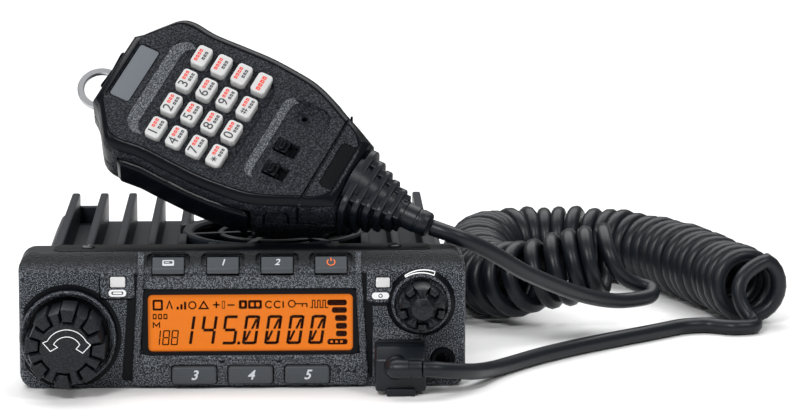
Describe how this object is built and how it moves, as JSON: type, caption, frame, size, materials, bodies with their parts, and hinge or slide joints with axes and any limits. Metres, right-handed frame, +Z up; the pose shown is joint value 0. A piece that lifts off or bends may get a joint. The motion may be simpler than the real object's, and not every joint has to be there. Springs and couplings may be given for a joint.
{
  "type": "mobile transceiver",
  "caption": "Finned mobile radio with a display, knobs and keys, a keypad hand microphone resting on top and a curly cord between them.",
  "frame": {"origin": "on the surface that the radio stands on, under the middle of the radio and the resting microphone", "axes": "+Z up, the control panel faces -Y, +X to the right of someone facing the object from behind the -Y side"},
  "size_m": [0.2645, 0.2205, 0.1133],
  "materials": {
    "cast_chassis": "fine matt paint over cast aluminium",
    "cover_steel": "matt paint",
    "panel_plastic": "fine spark-textured moulding",
    "clear_window": "clear and smooth",
    "amber_display": "lit amber film",
    "lens_white": "clear lens over a white insert",
    "knob_plastic": "satin with a grained face",
    "steel": "nickel plated",
    "plated_metal": "nickel plated",
    "cord_rubber": "satin rubber",
    "circuit_board": "solder resist",
    "fan_plastic": "matt",
    "grey_key_plastic": "satin",
    "mic_plastic": "spark-textured moulding",
    "grey_plate": "satin grey insert",
    "white_key_plastic": "satin silicone"
  },
  "bodies": {
    "root": {"chassis_heatsink": "cast_chassis", "bottom_cover": "cover_steel", "front_bezel": "panel_plastic", "lcd_window": "clear_window", "lcd_panel": "amber_display", "tx_lens": "lens_white", "pwr_lens": "lens_white", "channel_encoder": "steel", "volume_pot": "steel", "mic_socket": "panel_plastic", "mic_plug": "cord_rubber", "aux_jack": "panel_plastic", "front_board": "circuit_board", "main_board": "circuit_board", "rf_power_module": "plated_metal", "speaker": "steel", "fan_frame": "fan_plastic", "fan_guard": "cast_chassis", "antenna_socket": "plated_metal", "dc_power_inlet": "panel_plastic", "ext_speaker_jack": "plated_metal", "mic_lead": "cord_rubber", "curly_cord": "cord_rubber", "plug_lead": "cord_rubber"},
    "microphone": {"mic_front_shell": "mic_plastic", "mic_rear_shell": "mic_plastic", "mic_window": "grey_plate", "mic_board": "circuit_board", "mic_boot": "cord_rubber", "hanger_ring": "steel"},
    "channel_knob": {"channel_knob": "knob_plastic"},
    "volume_knob": {"volume_knob": "knob_plastic"},
    "fan_rotor": {"fan_rotor": "fan_plastic"},
    "menu_key": {"menu_key": "panel_plastic"},
    "preset_key_1": {"preset_key_1": "panel_plastic"},
    "preset_key_2": {"preset_key_2": "panel_plastic"},
    "power_key": {"power_key": "panel_plastic"},
    "preset_key_3": {"preset_key_3": "grey_key_plastic"},
    "preset_key_4": {"preset_key_4": "grey_key_plastic"},
    "preset_key_5": {"preset_key_5": "grey_key_plastic"},
    "ptt_bar": {"ptt_bar": "mic_plastic"},
    "up_down_rocker": {"up_down_rocker": "mic_plastic"},
    "lock_switch": {"lock_switch": "mic_plastic"},
    "tone_switch": {"tone_switch": "mic_plastic"},
    "key_1": {"key_1": "white_key_plastic"},
    "key_2": {"key_2": "white_key_plastic"},
    "key_3": {"key_3": "white_key_plastic"},
    "key_a": {"key_a": "white_key_plastic"},
    "key_4": {"key_4": "white_key_plastic"},
    "key_5": {"key_5": "white_key_plastic"},
    "key_6": {"key_6": "white_key_plastic"},
    "key_b": {"key_b": "white_key_plastic"},
    "key_7": {"key_7": "white_key_plastic"},
    "key_8": {"key_8": "white_key_plastic"},
    "key_9": {"key_9": "white_key_plastic"},
    "key_c": {"key_c": "white_key_plastic"},
    "key_star": {"key_star": "white_key_plastic"},
    "key_0": {"key_0": "white_key_plastic"},
    "key_hash": {"key_hash": "white_key_plastic"},
    "key_d": {"key_d": "white_key_plastic"}
  },
  "joints": [
    {"name": "microphone_lift", "type": "slide", "parent": "root", "child": "microphone", "axis": [0, 0, 1], "range_m": [0, 0.03]},
    {"name": "channel_knob_turn", "type": "hinge", "parent": "root", "child": "channel_knob", "pos_m": [-0.0565, -0.0688, 0.0174], "axis": [0, -1, 0], "continuous": true},
    {"name": "volume_knob_turn", "type": "hinge", "parent": "root", "child": "volume_knob", "pos_m": [0.058, -0.0648, 0.028], "axis": [0, -1, 0], "range_deg": [-150, 150]},
    {"name": "fan_spin", "type": "hinge", "parent": "root", "child": "fan_rotor", "pos_m": [0.01012, -0.0093, 0.038], "axis": [0, 0, 1], "continuous": true},
    {"name": "menu_key_press", "type": "slide", "parent": "root", "child": "menu_key", "axis": [0, 0.7071, -0.7071], "range_m": [0, 0.0008], "stiffness_N_per_m": 800},
    {"name": "preset_key_1_press", "type": "slide", "parent": "root", "child": "preset_key_1", "axis": [0, 0.7071, -0.7071], "range_m": [0, 0.0008], "stiffness_N_per_m": 800},
    {"name": "preset_key_2_press", "type": "slide", "parent": "root", "child": "preset_key_2", "axis": [0, 0.7071, -0.7071], "range_m": [0, 0.0008], "stiffness_N_per_m": 800},
    {"name": "power_key_press", "type": "slide", "parent": "root", "child": "power_key", "axis": [0, 0.7071, -0.7071], "range_m": [0, 0.0008], "stiffness_N_per_m": 800},
    {"name": "preset_key_3_press", "type": "slide", "parent": "root", "child": "preset_key_3", "axis": [0, 1, 0], "range_m": [0, 0.001], "stiffness_N_per_m": 800},
    {"name": "preset_key_4_press", "type": "slide", "parent": "root", "child": "preset_key_4", "axis": [0, 1, 0], "range_m": [0, 0.001], "stiffness_N_per_m": 800},
    {"name": "preset_key_5_press", "type": "slide", "parent": "root", "child": "preset_key_5", "axis": [0, 1, 0], "range_m": [0, 0.001], "stiffness_N_per_m": 800},
    {"name": "key_1_press", "type": "slide", "parent": "microphone", "child": "key_1", "axis": [0, 0.7771, -0.6293], "range_m": [0, 0.001], "stiffness_N_per_m": 500},
    {"name": "key_2_press", "type": "slide", "parent": "microphone", "child": "key_2", "axis": [0, 0.7771, -0.6293], "range_m": [0, 0.001], "stiffness_N_per_m": 500},
    {"name": "key_3_press", "type": "slide", "parent": "microphone", "child": "key_3", "axis": [0, 0.7771, -0.6293], "range_m": [0, 0.001], "stiffness_N_per_m": 500},
    {"name": "key_a_press", "type": "slide", "parent": "microphone", "child": "key_a", "axis": [0, 0.7771, -0.6293], "range_m": [0, 0.001], "stiffness_N_per_m": 500},
    {"name": "key_4_press", "type": "slide", "parent": "microphone", "child": "key_4", "axis": [0, 0.7771, -0.6293], "range_m": [0, 0.001], "stiffness_N_per_m": 500},
    {"name": "key_5_press", "type": "slide", "parent": "microphone", "child": "key_5", "axis": [0, 0.7771, -0.6293], "range_m": [0, 0.001], "stiffness_N_per_m": 500},
    {"name": "key_6_press", "type": "slide", "parent": "microphone", "child": "key_6", "axis": [0, 0.7771, -0.6293], "range_m": [0, 0.001], "stiffness_N_per_m": 500},
    {"name": "key_b_press", "type": "slide", "parent": "microphone", "child": "key_b", "axis": [0, 0.7771, -0.6293], "range_m": [0, 0.001], "stiffness_N_per_m": 500},
    {"name": "key_7_press", "type": "slide", "parent": "microphone", "child": "key_7", "axis": [0, 0.7771, -0.6293], "range_m": [0, 0.001], "stiffness_N_per_m": 500},
    {"name": "key_8_press", "type": "slide", "parent": "microphone", "child": "key_8", "axis": [0, 0.7771, -0.6293], "range_m": [0, 0.001], "stiffness_N_per_m": 500},
    {"name": "key_9_press", "type": "slide", "parent": "microphone", "child": "key_9", "axis": [0, 0.7771, -0.6293], "range_m": [0, 0.001], "stiffness_N_per_m": 500},
    {"name": "key_c_press", "type": "slide", "parent": "microphone", "child": "key_c", "axis": [0, 0.7771, -0.6293], "range_m": [0, 0.001], "stiffness_N_per_m": 500},
    {"name": "key_star_press", "type": "slide", "parent": "microphone", "child": "key_star", "axis": [0, 0.7771, -0.6293], "range_m": [0, 0.001], "stiffness_N_per_m": 500},
    {"name": "key_0_press", "type": "slide", "parent": "microphone", "child": "key_0", "axis": [0, 0.7771, -0.6293], "range_m": [0, 0.001], "stiffness_N_per_m": 500},
    {"name": "key_hash_press", "type": "slide", "parent": "microphone", "child": "key_hash", "axis": [0, 0.7771, -0.6293], "range_m": [0, 0.001], "stiffness_N_per_m": 500},
    {"name": "key_d_press", "type": "slide", "parent": "microphone", "child": "key_d", "axis": [0, 0.7771, -0.6293], "range_m": [0, 0.001], "stiffness_N_per_m": 500},
    {"name": "ptt_press", "type": "slide", "parent": "microphone", "child": "ptt_bar", "axis": [0.4733, 0.5544, 0.6846], "range_m": [0, 0.0014], "stiffness_N_per_m": 900},
    {"name": "up_down_rock", "type": "hinge", "parent": "microphone", "child": "up_down_rocker", "pos_m": [-0.0406, -0.00981, 0.09541], "axis": [0, -0.7771, 0.6293], "range_deg": [-3.5, 3.5], "stiffness_Nm_per_rad": 0.4},
    {"name": "lock_switch_slide", "type": "slide", "parent": "microphone", "child": "lock_switch", "axis": [0.8809, -0.2979, -0.3678], "range_m": [0, 0.0028]},
    {"name": "tone_switch_slide", "type": "slide", "parent": "microphone", "child": "tone_switch", "axis": [0.8809, -0.2979, -0.3678], "range_m": [0, 0.0028]}
  ]
}
